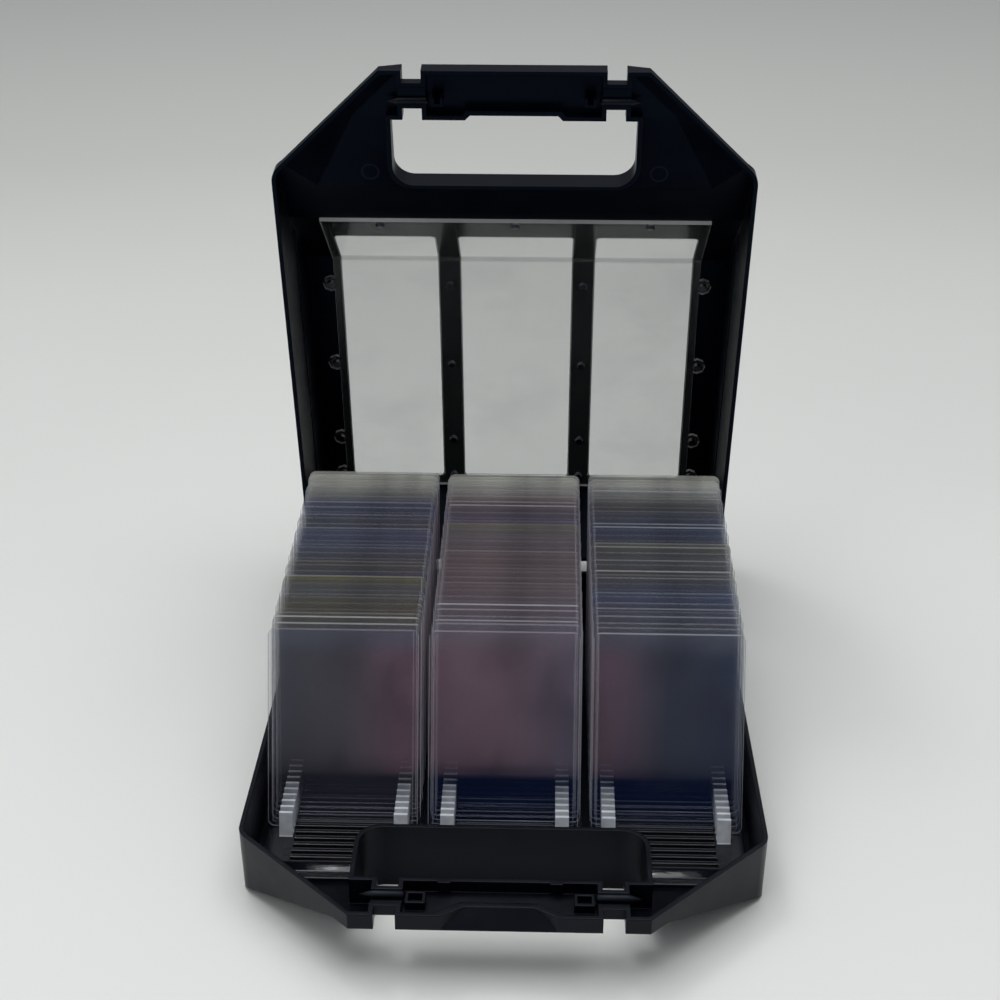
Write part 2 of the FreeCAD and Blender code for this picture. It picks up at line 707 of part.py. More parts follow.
# -------------------------------------------------------------- comb strips
combs = []
for side, label in ROWS:
    for hand, where in ((-1, "outer" if side < 0 else "inner"), (1, "inner" if side < 0 else "outer")):
        if side == 0:
            where = "left" if hand < 0 else "right"
        name = "comb_%s_%s" % (label, where)
        body = new_body(name)
        half = "size.comb_width / 2"
        strip = sketch(body, name + "_plan", "XY_Plane", [box_loop(
            "-" + half, half, "size.first_tooth_y - 3.8",
            "size.first_tooth_y + %d * size.slot_pitch + 3.8" % (TEETH - 1))], "size.tray_z")
        pad(body, name + "_strip", strip, "size.tray_thick")
        slant = "tan(size.tooth_slant * 1 deg)"
        reach = "(size.tooth_thick / 2 / cos(size.tooth_slant * 1 deg))"
        low = "size.tray_z + 0.4"
        top = "size.tray_z + size.comb_height"
        back = "size.first_tooth_y + (%s - size.mid_z) * %s" % (low, slant)
        tip = "size.first_tooth_y + (%s - size.mid_z) * %s" % (top, slant)
        tooth = sketch(body, name + "_tooth_side", "YZ_Plane", [[
            ("%s - %s" % (back, reach), low), ("%s + %s" % (back, reach), low),
            ("%s + %s" % (tip, reach), top), ("%s - %s" % (tip, reach), top)]])
        first = pad(body, name + "_tooth", tooth, "size.comb_width", middle=True)
        row_of(body, first, name + "_teeth", TEETH, "size.slot_pitch")
        body.setExpression("Placement.Base.x", "%d * size.row_pitch + (%d) * size.comb_x" % (side, hand))
        doc.recompute()
        combs.append(body)


# ------------------------------------------------------------ card sleeves
def sleeve_form(name, hollow):
    """Rigid sleeve standing on its bottom edge; the long side runs along X."""
    body = new_body(name)
    wide = "size.sleeve_width / 2"
    tall = "size.sleeve_height"
    cut = "2.2"
    face = sketch(body, name + "_face", "XZ_Plane", [[
        ("-" + wide, "0"), (wide, "0"), (wide, "%s - %s" % (tall, cut)), ("%s - %s" % (wide, cut), tall),
        ("-%s + %s" % (wide, cut), tall), ("-" + wide, "%s - %s" % (tall, cut))]])
    pad(body, name + "_plate", face, "size.sleeve_thick", middle=True)
    if hollow:
        mouth = sketch(body, name + "_mouth", "XY_Plane", [box_loop(
            "-%s + 3" % wide, "%s - 3" % wide, "-0.45", "0.45")], tall)
        pocket(body, name + "_card_space", mouth, "size.sleeve_height - 4")
        thumb = sketch(body, name + "_thumb_notch", "XZ_Plane", [[
            ("-9", "%s + 1" % tall), ("9", "%s + 1" % tall), ("5.5", "%s - 5" % tall), ("-5.5", "%s - 5" % tall)]])
        pocket(body, name + "_thumb", thumb, "size.sleeve_thick", middle=False)
    return body


def sleeve_place(side, slot):
    lean = LEAN_FRONT + (LEAN_REAR - LEAN_FRONT) * slot / (SLOTS - 1.0)
    angle = math.radians(lean)
    lift = 0.0
    shift = (-1.0, -1.0, 0.4)[side + 1]
    if slot:
        lift = 0.6 + 0.6 * math.sin(1.7 * slot + 2.0 * side)
        shift = 0.3 * math.sin(2.3 * slot + side)
    z = SIZE["tray_z"] + SIZE["tray_thick"] + 0.1 + lift + SIZE["sleeve_thick"] / 2 * math.sin(angle)
    y = SIZE["first_tooth_y"] + SIZE["slot_pitch"] * (slot + 1.5) - (SIZE["mid_z"] - z) * math.tan(angle)
    return FreeCAD.Placement(
        FreeCAD.Vector(side * SIZE["row_pitch"] + shift, y, z),
        FreeCAD.Rotation(FreeCAD.Vector(1, 0, 0), -lean))


plain = sleeve_form("sleeve_plain", False)
sleeves = []
for side, label in ROWS:
    front = sleeve_form("front_sleeve_" + label, True)
    front.Placement = sleeve_place(side, 0)
    doc.recompute()
    sleeves.append(front)
    sleeves.append(copies(
        "card_sleeves_" + label, plain.Shape, [sleeve_place(side, slot) for slot in range(1, SLOTS)]))

# ------------------------------------------------------------ check and save
doc.recompute()
nodes = [base_shell, lid_shell, window_panel, window_screws] + pins + trays + combs + sleeves
for item in doc.Objects:
    if "Invalid" in item.State or "Error" in item.State:
        raise RuntimeError("%s did not build" % item.Name)
os.makedirs("parts", exist_ok=True)
for item in nodes:
    shape = item.Shape
    if shape.isNull() or not shape.isValid() or shape.Volume <= 0:
        raise RuntimeError("%s is not a valid solid" % item.Label)
    shape.exportStep("parts/%s.step" % item.Label)
    print("%-24s solids %3d  volume %10.1f mm3" % (item.Label, len(shape.Solids), shape.Volume))
print("%d parts saved" % len(nodes))
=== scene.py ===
"""Hinged carry case for rigid card sleeves, standing open on a pale table."""
import math

import bmesh
import bpy
from mathutils import Matrix, Vector


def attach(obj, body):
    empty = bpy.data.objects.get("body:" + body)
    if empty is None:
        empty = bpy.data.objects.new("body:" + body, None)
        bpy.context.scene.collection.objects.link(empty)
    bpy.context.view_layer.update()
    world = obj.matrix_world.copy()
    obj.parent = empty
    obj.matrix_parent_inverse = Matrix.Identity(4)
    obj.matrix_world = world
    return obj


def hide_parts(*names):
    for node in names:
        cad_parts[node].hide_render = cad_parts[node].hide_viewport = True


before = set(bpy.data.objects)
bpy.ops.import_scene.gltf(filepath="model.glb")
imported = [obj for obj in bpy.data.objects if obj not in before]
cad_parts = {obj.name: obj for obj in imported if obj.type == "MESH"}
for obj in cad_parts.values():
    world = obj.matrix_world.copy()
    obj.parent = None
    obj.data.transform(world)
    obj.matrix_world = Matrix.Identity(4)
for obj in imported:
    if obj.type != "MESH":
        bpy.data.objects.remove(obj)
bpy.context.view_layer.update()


# ------------------------------------------------------------------ the table
# A painted board, off-white and very slightly uneven.  Painted light: it is drawn brighter
# near the front edge and greyer towards the wall.  It takes the soft shadow of the case.
MM = 0.001
BOARD_PALE_Y = -900.0
BOARD_GREY_Y = 1300.0
BOARD_SPOKES = 48
BOARD_RINGS = (350.0, 800.0, 1600.0, 3500.0, 7000.0)


def tone(code):
    """sRGB hex to the linear colour that shaders use."""
    parts = [int(code[spot:spot + 2], 16) / 255 for spot in (1, 3, 5)]
    return tuple(c / 12.92 if c <= 0.04045 else ((c + 0.055) / 1.055) ** 2.4 for c in parts) + (1.0,)


def new_material(name):
    material = bpy.data.materials.new(name)
    material.use_nodes = True
    material.node_tree.nodes.clear()
    return material, material.node_tree


def add(tree, kind, settings=None, links=None):
    """One node with its settings and the sockets that feed it."""
    node = tree.nodes.new("ShaderNode" + kind)
    for key, value in (settings or {}).items():
        if isinstance(key, str) and hasattr(node, key):
            setattr(node, key, value)
        else:
            node.inputs[key].default_value = value
    for key, source in (links or {}).items():
        tree.links.new(source, node.inputs[key])
    return node


def mesh_piece(name, verts, faces, material, body=None):
    """A piece from its points and faces; with a body, it rides on that."""
    mesh = bpy.data.meshes.new(name)
    mesh.from_pydata(verts, [], faces)
    mesh.materials.append(material)
    piece = bpy.data.objects.new(name, mesh)
    bpy.context.collection.objects.link(piece)
    if body:
        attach(piece, body)
    return piece


# roller-painted board: matt, with broad cloudy unevenness and a 1.1 mm tooth
painted_board, tree = new_material("painted_board")
place = add(tree, "TexCoord")
split = add(tree, "SeparateXYZ", None, {0: place.outputs["Object"]})
# painted light falloff: paler near the front, greyer towards the wall, as the lamp's light falls off
depth = add(tree, "MapRange", {1: BOARD_PALE_Y * MM, 2: BOARD_GREY_Y * MM, 3: 0.0, 4: 1.0},
            {0: split.outputs["Y"]})
cloud = add(tree, "TexNoise", {"Scale": 1 / (455 * MM), "Detail": 2.0}, {"Vector": place.outputs["Object"]})
unevenness_and_falloff = add(tree, "Math", {"operation": "MULTIPLY_ADD", 1: 0.18},
            {0: cloud.outputs["Fac"], 2: depth.outputs[0]})
tone_and_painted_falloff = add(tree, "ValToRGB", None, {0: unevenness_and_falloff.outputs[0]})
tone_and_painted_falloff.color_ramp.elements[0].position = 0.12
tone_and_painted_falloff.color_ramp.elements[0].color = tone("#eceeeb")
tone_and_painted_falloff.color_ramp.elements[1].position = 1.0
tone_and_painted_falloff.color_ramp.elements[1].color = tone("#c6c7c3")
grain = add(tree, "TexNoise", {"Scale": 1 / (1.11 * MM), "Detail": 3.0},
            {"Vector": place.outputs["Object"]})
tooth = add(tree, "Bump", {"Strength": 0.12, "Distance": 0.4 * MM}, {"Height": grain.outputs["Fac"]})
paint = add(tree, "BsdfPrincipled", {"Roughness": 0.62},
            {"Base Color": tone_and_painted_falloff.outputs["Color"], "Normal": tooth.outputs[0]})
add(tree, "OutputMaterial", None, {"Surface": paint.outputs[0]})

verts = [(0.0, 0.0, 0.0)]
for radius in BOARD_RINGS:
    for spoke in range(BOARD_SPOKES):
        turn = 2 * math.pi * spoke / BOARD_SPOKES
        verts.append((radius * MM * math.cos(turn), radius * MM * math.sin(turn), 0.0))
faces = [(0, 1 + spoke, 1 + (spoke + 1) % BOARD_SPOKES) for spoke in range(BOARD_SPOKES)]
for ring in range(len(BOARD_RINGS) - 1):
    near, far = 1 + ring * BOARD_SPOKES, 1 + (ring + 1) * BOARD_SPOKES
    for spoke in range(BOARD_SPOKES):
        after = (spoke + 1) % BOARD_SPOKES
        faces.append((near + spoke, far + spoke, far + after, near + after))
table = mesh_piece("table", verts, faces, painted_board)


# ------------------------------------------------------------- the two shells
# Base and lid are injection moulded in black ABS with a fine spark-eroded
# texture, and hang together on two pins.  Ejector pins left round witness
# marks, 9 mm across, on the lid's two bevels beside the handle.
HINGE_Y = 134.1
HINGE_Z = 35.45
RIM_Z = 35.6
OPEN = math.radians(81.3)
MARK_RADIUS = 4.4
MARK_X = 76.0
MARK_Y = -121.5


def on_lid(x, y, depth):
    """Point of the closed lid, millimetres in from its rim, where the open lid holds it."""
    across, up = y - HINGE_Y, RIM_Z + depth - HINGE_Z
    return Vector((x, HINGE_Y + across * math.cos(OPEN) + up * math.sin(OPEN),
                   HINGE_Z - across * math.sin(OPEN) + up * math.cos(OPEN))) * MM


# the lid's run, from the handle to the hinge, as it stands open
lid_run = Vector((0.0, math.cos(OPEN), -math.sin(OPEN)))


def black_abs(name, deep, worn, smooth, rough, mottle, shine, tint, marked=False):
    """Textured black moulding: almost black, with soft light along every rim.

    deep and worn are its two tones, in patches of mottle millimetres; smooth and
    rough are its roughness there; shine and tint are those of its reflections.
    """
    material, tree = new_material(name)
    place = add(tree, "TexCoord")
    broad = add(tree, "TexNoise", {"Scale": 1 / (mottle * MM), "Detail": 4.0, "Roughness": 0.6},
                {"Vector": place.outputs["Object"]})
    # 0.8 mm speckle: coarser than the real texture, so that it shows
    speck = add(tree, "TexNoise", {"Scale": 1 / (0.8 * MM), "Detail": 2.0},
                {"Vector": place.outputs["Object"]})
    colour = add(tree, "ValToRGB", None, {0: broad.outputs["Fac"]})
    colour.color_ramp.elements[0].position = 0.3
    colour.color_ramp.elements[0].color = tone(deep)
    colour.color_ramp.elements[1].position = 0.75
    colour.color_ramp.elements[1].color = tone(worn)
    sheen = add(tree, "MapRange", {1: 0.3, 2: 0.7, 3: smooth, 4: rough}, {0: broad.outputs["Fac"]})
    # edges are broken by 0.9 mm, as they leave the mould
    corner = add(tree, "Bevel", {"samples": 6, "Radius": 0.9 * MM})
    skin = add(tree, "Bump", {"Strength": 0.22, "Distance": 0.12 * MM},
               {"Height": speck.outputs["Fac"], "Normal": corner.outputs[0]})
    skin_colour = colour.outputs["Color"]
    if marked:
        # a paler ring round each ejector mark, the same left and right
        mark_along = lid_run.dot(on_lid(MARK_X, MARK_Y, 0.0))
        mirrored = add(tree, "SeparateXYZ", None, {0: place.outputs["Object"]})
        out = add(tree, "Math", {"operation": "ABSOLUTE"}, {0: mirrored.outputs["X"]})
        along = add(tree, "VectorMath", {"operation": "DOT_PRODUCT", 1: tuple(lid_run)},
                    {0: place.outputs["Object"]})
        flat = add(tree, "CombineXYZ", None, {0: out.outputs[0], 1: along.outputs["Value"]})
        gap = add(tree, "VectorMath", {"operation": "DISTANCE", 1: (MARK_X * MM, mark_along, 0.0)},
                  {0: flat.outputs[0]})
        rim = add(tree, "Math", {"operation": "SUBTRACT", 1: MARK_RADIUS * MM}, {0: gap.outputs["Value"]})
        rim = add(tree, "Math", {"operation": "ABSOLUTE"}, {0: rim.outputs[0]})
        ring_line = add(tree, "MapRange", {1: 0.2 * MM, 2: 0.6 * MM, 3: 1.0, 4: 0.0}, {0: rim.outputs[0]})
        mark = add(tree, "Mix", {"data_type": "RGBA", 7: tone("#151b24")},
                   {0: ring_line.outputs[0], 6: skin_colour})
        skin_colour = mark.outputs[2]
    plastic = add(tree, "BsdfPrincipled",
                  {"IOR": 1.49, "Specular IOR Level": shine, "Specular Tint": tone(tint)},
                  {"Base Color": skin_colour, "Roughness": sheen.outputs[0], "Normal": skin.outputs[0]})
    add(tree, "OutputMaterial", None, {"Surface": plastic.outputs[0]})
    return material


def finish_node(name, material):
    """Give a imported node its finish."""
    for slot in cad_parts[name].material_slots:
        slot.link = "OBJECT"
        slot.material = material


moulded_abs = black_abs("moulded_abs", deep="#010206", worn="#05080e", smooth=0.30, rough=0.42,
                        mottle=16.7, shine=0.22, tint="#d6e2f4")
# painted shade: the lid stands with its inside away from the light; its copy of the
# moulding is drawn bluer and deeper, with weaker reflections
moulded_abs_lid_shaded = black_abs("moulded_abs_lid_shaded", deep="#010207", worn="#04070f", smooth=0.28, rough=0.4,
                            mottle=16.7, shine=0.09, tint="#a8c8ff", marked=True)
finish_node("base_shell", moulded_abs)
finish_node("lid_shell", moulded_abs_lid_shaded)


# -------------------------------------------------------- rods in the necks
# Where the handle bar joins each half, a moulded round rod with a coned end
# lies in the neck and stiffens it.  It is part of the same black moulding.
ROD_OUTLINE = ((43.5, 0.0), (43.9, 1.7), (44.8, 2.4), (58.5, 2.4),
               (61.5, 1.5), (64.8, 0.25), (65.0, 0.0))
ROD_SIDES = 20
ROD_Y = -165.4
ROD_DEPTH_IN_LID = 2.5
ROD_HEIGHT_IN_BASE = 32.6


def rod_in_lid(x, along, up):
    return on_lid(x, ROD_Y + along, ROD_DEPTH_IN_LID + up)


def rod_in_base(x, along, up):
    return Vector((x, ROD_Y + along, ROD_HEIGHT_IN_BASE + up)) * MM


def neck_rod(name, side, held_at, body):
    """Turned outline along X: rounded at its inner end, coned at its outer one."""
    verts, faces = [], []
    for x, radius in ROD_OUTLINE:
        for step in range(ROD_SIDES):
            turn = 2 * math.pi * step / ROD_SIDES
            verts.append(held_at(side * x, radius * math.cos(turn), radius * math.sin(turn)))
    for row in range(len(ROD_OUTLINE) - 1):
        near, far = row * ROD_SIDES, (row + 1) * ROD_SIDES
        for step in range(ROD_SIDES):
            after = (step + 1) % ROD_SIDES
            quad = (near + step, near + after, far + after, far + step)
            faces.append(quad if side < 0 else tuple(reversed(quad)))
    rod = mesh_piece(name, verts, faces, moulded_abs, body)
    for face in rod.data.polygons:
        face.use_smooth = True


for side, label in ((-1, "left"), (1, "right")):
    neck_rod("lid_neck_rod_" + label, side, rod_in_lid, "lid")
    neck_rod("base_neck_rod_" + label, side, rod_in_base, "base")


# ---------------------------------------------------------------- slot trays
# The loose trays are a glossier black polystyrene, polished in the mould, so
# their ribs and bars throw back long streaks of light.  Each one ends in front
# in a low roll, whose wavy skin breaks up the lamp.
ROW_PITCH = 81.4
ROLL_HALF = 38.6
ROLL_REAR = -107.7
ROLL_FRONT = -115.1
ROLL_FOOT = 4.02
ROLL_HEIGHT = 1.0
ROLL_STEPS = 12

polished_styrene = black_abs("polished_styrene", deep="#04060b", worn="#0d1119", smooth=0.08, rough=0.2,
                             mottle=40.0, shine=0.6, tint="#ffffff")
for label in ("left", "middle", "right"):
    finish_node("slot_tray_" + label, polished_styrene)

# the same styrene with sink ripples, 2 to 8 mm apart, that crackle the reflections
rippled_styrene, tree = new_material("rippled_styrene")
place = add(tree, "TexCoord")
ripple_map = add(tree, "Mapping", {"Scale": (1 / (8.33 * MM), 1 / (2.38 * MM), 1 / (5 * MM)),
                                   "Rotation": (0.0, 0.0, 0.25)}, {"Vector": place.outputs["Object"]})
ripple = add(tree, "TexNoise", {"Scale": 1.0, "Detail": 3.0, "Distortion": 1.2},
             {"Vector": ripple_map.outputs[0]})
waves = add(tree, "Bump", {"Strength": 0.5, "Distance": 0.5 * MM}, {"Height": ripple.outputs["Fac"]})
ink = add(tree, "ValToRGB", None, {0: ripple.outputs["Fac"]})
ink.color_ramp.elements[0].color = tone("#05070c")
ink.color_ramp.elements[1].color = tone("#10141d")
roll_plastic = add(tree, "BsdfPrincipled", {"Roughness": 0.14, "IOR": 1.59},
                   {"Base Color": ink.outputs["Color"], "Normal": waves.outputs[0]})
add(tree, "OutputMaterial", None, {"Surface": roll_plastic.outputs[0]})

for side, label in ((-1, "left"), (0, "middle"), (1, "right")):
    verts = []
    for end in (-ROLL_HALF, ROLL_HALF):
        for step in range(ROLL_STEPS + 1):
            share = step / ROLL_STEPS
            verts.append(Vector((ROW_PITCH * side + end, ROLL_REAR + (ROLL_FRONT - ROLL_REAR) * share,
                                 ROLL_FOOT + ROLL_HEIGHT * (1 - (2 * share - 1) ** 2))) * MM)
    ends = ROLL_STEPS + 1
    faces = [(step + 1, step, ends + step, ends + step + 1) for step in range(ROLL_STEPS)]
    faces.append(tuple(range(ends)))
    faces.append(tuple(reversed(range(ends, 2 * ends))))
    roll = mesh_piece("tray_roll_" + label, verts, faces, rippled_styrene, "base")
    for face in roll.data.polygons[:ROLL_STEPS]:
        face.use_smooth = True


# -------------------------------------------------------------------- combs
# Toothed strips moulded in unpigmented polypropylene.  They drop into the base
# on both sides of each row of slots, and hold the sleeves upright.

# natural polypropylene is milky: faintly blue-grey, softly lit from inside, with
# a matt bloom in clouds of about 7 mm
milky_pp, tree = new_material("milky_polypropylene")
place = add(tree, "TexCoord")
cloud = add(tree, "TexNoise", {"Scale": 1 / (7.14 * MM), "Detail": 3.0},
            {"Vector": place.outputs["Object"]})
milk = add(tree, "ValToRGB", None, {0: cloud.outputs["Fac"]})
milk.color_ramp.elements[0].position = 0.3
milk.color_ramp.elements[0].color = tone("#abb1b9")
milk.color_ramp.elements[1].position = 0.75
milk.color_ramp.elements[1].color = tone("#cfd3d8")
bloom = add(tree, "Bump", {"Strength": 0.15, "Distance": 0.1 * MM}, {"Height": cloud.outputs["Fac"]})
comb_plastic = add(tree, "BsdfPrincipled",
                   {"Roughness": 0.45, "IOR": 1.49, "Subsurface Weight": 0.3, "Subsurface Scale": 0.5,
                    "Subsurface Radius": (4 * MM, 4 * MM, 4 * MM)},
                   {"Base Color": milk.outputs["Color"], "Normal": bloom.outputs[0]})
add(tree, "OutputMaterial", None, {"Surface": comb_plastic.outputs[0]})
for label in ("left_outer", "left_inner", "middle_left", "middle_right", "right_inner", "right_outer"):
    finish_node("comb_" + label, milky_pp)


# --------------------------------------------------------- pins and screws
# Drawn steel wire for the two hinge pins; the nineteen little pan-head screws
# are blackened steel, so that they hardly show against the lid.
def turned_steel(name, dark, light, rough):
    """Steel with draw marks 0.4 mm apart round the axis, stretched along it."""
    material, tree = new_material(name)
    place = add(tree, "TexCoord")
    stretch = add(tree, "Mapping", {"Scale": (1 / (16.7 * MM), 1 / (0.4 * MM), 1 / (0.4 * MM))},
                  {"Vector": place.outputs["Object"]})
    drawn = add(tree, "TexNoise", {"Scale": 1.0, "Detail": 3.0}, {"Vector": stretch.outputs[0]})
    colour = add(tree, "ValToRGB", None, {0: drawn.outputs["Fac"]})
    colour.color_ramp.elements[0].color = tone(dark)
    colour.color_ramp.elements[1].color = tone(light)
    steel = add(tree, "BsdfPrincipled", {"Metallic": 1.0, "Roughness": rough},
                {"Base Color": colour.outputs["Color"]})
    add(tree, "OutputMaterial", None, {"Surface": steel.outputs[0]})
    return material


drawn_wire = turned_steel("drawn_steel_wire", "#7d7f82", "#b4b6b8", 0.28)
black_oxide = turned_steel("black_oxide_steel", "#24262b", "#565a61", 0.32)
finish_node("hinge_pin_left", drawn_wire)
finish_node("hinge_pin_right", drawn_wire)
finish_node("window_screws", black_oxide)


# -------------------------------------------------------------- clear panel
# One sheet of 2.2 mm acrylic, bent once over a hot wire and screwed behind
# the three windows.  Its edges are left as the saw cut them.
SLOPE = math.radians(43)
BEND_Y = -37.6
BEND_DEPTH = 72.0

# cast acrylic is drawn a faint grey with a few wiped smears, 30 to 110 mm long; the grey
# film is partly painted shade, darkening the table seen through the windows, which lies in
# the lid's shadow; light gathers in its sawn edges, which show as thin bright lines
clear_acrylic, tree = new_material("clear_acrylic")
place = add(tree, "TexCoord")
smear_map = add(tree, "Mapping", {"Scale": (1 / (111 * MM), 1 / (33.3 * MM), 1 / (71.4 * MM)),
                                  "Rotation": (0.0, 0.0, 0.5)}, {"Vector": place.outputs["Object"]})
smear = add(tree, "TexNoise", {"Scale": 1.0, "Detail": 5.0, "Roughness": 0.65},
            {"Vector": smear_map.outputs[0]})
# the film's cover: partly smears, partly painted shade over the table behind
haze_and_painted_shade = add(tree, "MapRange", {1: 0.45, 2: 0.8, 3: 0.21, 4: 0.3}, {0: smear.outputs["Fac"]})
gloss = add(tree, "MapRange", {1: 0.3, 2: 0.8, 3: 0.02, 4: 0.12}, {0: smear.outputs["Fac"]})
# the two big faces of the bent sheet; everything else is a sawn edge
flat_face = (0.0, math.sin(OPEN), math.cos(OPEN))
slope_face = (0.0, math.sin(OPEN - SLOPE), math.cos(OPEN - SLOPE))
to_flat = add(tree, "VectorMath", {"operation": "DOT_PRODUCT", 1: flat_face},
              {0: place.outputs["Normal"]})
to_flat = add(tree, "Math", {"operation": "ABSOLUTE"}, {0: to_flat.outputs["Value"]})
to_slope = add(tree, "VectorMath", {"operation": "DOT_PRODUCT", 1: slope_face},
               {0: place.outputs["Normal"]})
to_slope = add(tree, "Math", {"operation": "ABSOLUTE"}, {0: to_slope.outputs["Value"]})
facing = add(tree, "Math", {"operation": "MAXIMUM"}, {0: to_flat.outputs[0], 1: to_slope.outputs[0]})
sawn = add(tree, "MapRange", {1: 0.9, 2: 0.97, 3: 1.0, 4: 0.0}, {0: facing.outputs[0]})
face_colour = add(tree, "Mix", {"data_type": "RGBA", 6: tone("#3c3f3e"), 7: tone("#555856")},
                  {0: smear.outputs["Fac"]})
sheet_colour = add(tree, "Mix", {"data_type": "RGBA", 7: tone("#d3d6d4")},
                   {0: sawn.outputs[0], 6: face_colour.outputs[2]})
cover = add(tree, "MapRange", {3: 0.0, 4: 0.75}, {0: sawn.outputs[0]})
cover = add(tree, "Math", {"operation": "MAXIMUM"}, {0: cover.outputs[0], 1: haze_and_painted_shade.outputs[0]})
# a paler line runs along the bend
bend_along = lid_run.dot(on_lid(0.0, BEND_Y, BEND_DEPTH))
along = add(tree, "VectorMath", {"operation": "DOT_PRODUCT", 1: tuple(lid_run)},
            {0: place.outputs["Object"]})
off_bend = add(tree, "Math", {"operation": "SUBTRACT", 1: bend_along}, {0: along.outputs["Value"]})
off_bend = add(tree, "Math", {"operation": "ABSOLUTE"}, {0: off_bend.outputs[0]})
bend_line = add(tree, "MapRange", {1: 0.5 * MM, 2: 2.2 * MM, 3: 0.28, 4: 0.0}, {0: off_bend.outputs[0]})
cover = add(tree, "Math", {"operation": "ADD", "use_clamp": True},
            {0: cover.outputs[0], 1: bend_line.outputs[0]})
sheet_colour = add(tree, "Mix", {"data_type": "RGBA", 7: tone("#b4b6b4")},
                   {0: bend_line.outputs[0], 6: sheet_colour.outputs[2]})
acrylic = add(tree, "BsdfPrincipled", {"IOR": 1.49},
              {"Base Color": sheet_colour.outputs[2], "Roughness": gloss.outputs[0],
               "Alpha": cover.outputs[0]})
add(tree, "OutputMaterial", None, {"Surface": acrylic.outputs[0]})
finish_node("window_panel", clear_acrylic)


# ------------------------------------------------------------ window frames
# Each window of the lid has rounded corners, a deep black band along its top
# and a thin polished bead all round.  Beads and bands are moulded with the lid,
# and lie behind the clear sheet when one looks in from the front.
WINDOW_EDGES = ((-103.0, -45.0), (-33.0, 33.0), (45.0, 103.0))
WINDOW_TOP = -64.5
WINDOW_REAR = 119.3
WINDOW_ROUND = 3.2
WINDOW_CORNER_STEPS = 6
SHEET_TOP_Y = -86.01
SHEET_TOP_DEPTH = 26.97
SHEET_FLAT_DEPTH = 72.55
SHEET_BEND_Y = -37.13
BEAD_WIDE = 0.75
BEAD_NEAR = 0.12
BEAD_FAR = 1.3
BAND_TOP = -78.2
BAND_NEAR = 0.15
BAND_FAR = 2.6


def behind_sheet(x, y, out):
    """Point of the lid a little outside the clear sheet, on its slope or its flat part."""
    on_slope = SHEET_TOP_DEPTH + (y - SHEET_TOP_Y) * math.tan(SLOPE)
    return on_lid(x, y, min(on_slope, SHEET_FLAT_DEPTH) + out)


def window_loop(left, right, inset):
    """Rounded outline in plan, with a point wherever the sheet bends."""
    points = []
    radius = WINDOW_ROUND - inset
    corners = ((right, WINDOW_REAR, 0), (left, WINDOW_REAR, 90),
               (left, WINDOW_TOP, 180), (right, WINDOW_TOP, 270))
    for x, y, start in corners:
        cx = x - math.copysign(WINDOW_ROUND, x - (left + right) / 2)
        cy = y - math.copysign(WINDOW_ROUND, y - (WINDOW_TOP + WINDOW_REAR) / 2)
        for step in range(WINDOW_CORNER_STEPS + 1):
            turn = math.radians(start + 90 * step / WINDOW_CORNER_STEPS)
            points.append((cx + radius * math.cos(turn), cy + radius * math.sin(turn)))
        if start == 90:
            points.append((left + inset, SHEET_BEND_Y))
        if start == 270:
            points.append((right - inset, SHEET_BEND_Y))
    return points


# the bead is polished in the mould, and so glossy that one sees only its white
# reflection: that is drawn as its colour, in stretches of about 33 mm
polished_bead, tree = new_material("polished_bead")
place = add(tree, "TexCoord")
glance = add(tree, "TexNoise", {"Scale": 1 / (33.3 * MM), "Detail": 2.0},
             {"Vector": place.outputs["Object"]})
silver = add(tree, "ValToRGB", None, {0: glance.outputs["Fac"]})
silver.color_ramp.elements[0].position = 0.3
silver.color_ramp.elements[0].color = tone("#c9ccca")
silver.color_ramp.elements[1].position = 0.7
silver.color_ramp.elements[1].color = tone("#fdfefd")
bead = add(tree, "BsdfPrincipled", {"Roughness": 0.2}, {"Base Color": silver.outputs["Color"]})
add(tree, "OutputMaterial", None, {"Surface": bead.outputs[0]})

verts, faces, bands, band_faces = [], [], [], []
for left, right in WINDOW_EDGES:
    outer, inner = window_loop(left, right, 0.0), window_loop(left, right, BEAD_WIDE)
    # the bead: a flat rim, then its wall through the lid's thickness
    start, count = len(verts), len(outer)
    verts += [behind_sheet(x, y, BEAD_NEAR) for x, y in outer]
    verts += [behind_sheet(x, y, BEAD_NEAR) for x, y in inner]
    verts += [behind_sheet(x, y, BEAD_FAR) for x, y in inner]
    for index in range(count):
        after = (index + 1) % count
        for low, high in ((0, count), (count, 2 * count)):
            faces.append((start + low + index, start + low + after,
                          start + high + after, start + high + index))
    # the band: rounded below, square above
    edge = [(x, y) for x, y in outer if y < WINDOW_TOP + WINDOW_ROUND + 0.1]
    start, count = len(bands), len(edge)
    for out in (BAND_NEAR, BAND_FAR):
        bands += [behind_sheet(x, BAND_TOP, out) for x, y in edge]
        bands += [behind_sheet(x, y, out) for x, y in edge]
    for index in range(count - 1):
        for low, high in ((0, count), (3 * count, 2 * count), (count, 3 * count)):
            band_faces.append((start + low + index, start + low + index + 1,
                               start + high + index + 1, start + high + index))
window_beads = mesh_piece("window_beads", verts, faces, polished_bead, "lid")
window_bands = mesh_piece("window_bands", bands, band_faces, moulded_abs, "lid")


